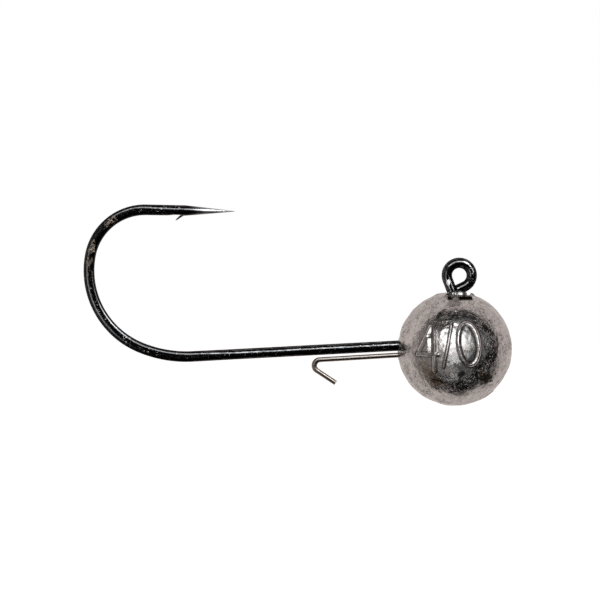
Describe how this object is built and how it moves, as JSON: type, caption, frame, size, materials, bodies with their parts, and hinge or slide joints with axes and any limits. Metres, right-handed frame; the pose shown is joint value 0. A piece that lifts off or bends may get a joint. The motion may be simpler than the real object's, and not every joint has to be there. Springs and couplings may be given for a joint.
{
  "type": "jig head",
  "caption": "Round ball jig head for soft baits: a cast lead ball on a ringed right-angled jig hook, with a thin wire bait keeper under the shank.",
  "frame": {"origin": "centre of the line eye's hole, in the plane of the hook", "axes": "+X from the bend of the hook towards the ball, +Z from the ball up to the eye, +Y through the eye's hole; the raised numerals face -Y"},
  "size_m": [0.0541, 0.0146, 0.0255],
  "materials": {
    "cast_lead": "satin",
    "black_nickel": "gloss",
    "bright_wire": "satin"
  },
  "bodies": {
    "root": {"lead_head": "cast_lead", "hook": "black_nickel", "wire_keeper": "bright_wire"}
  },
  "joints": []
}
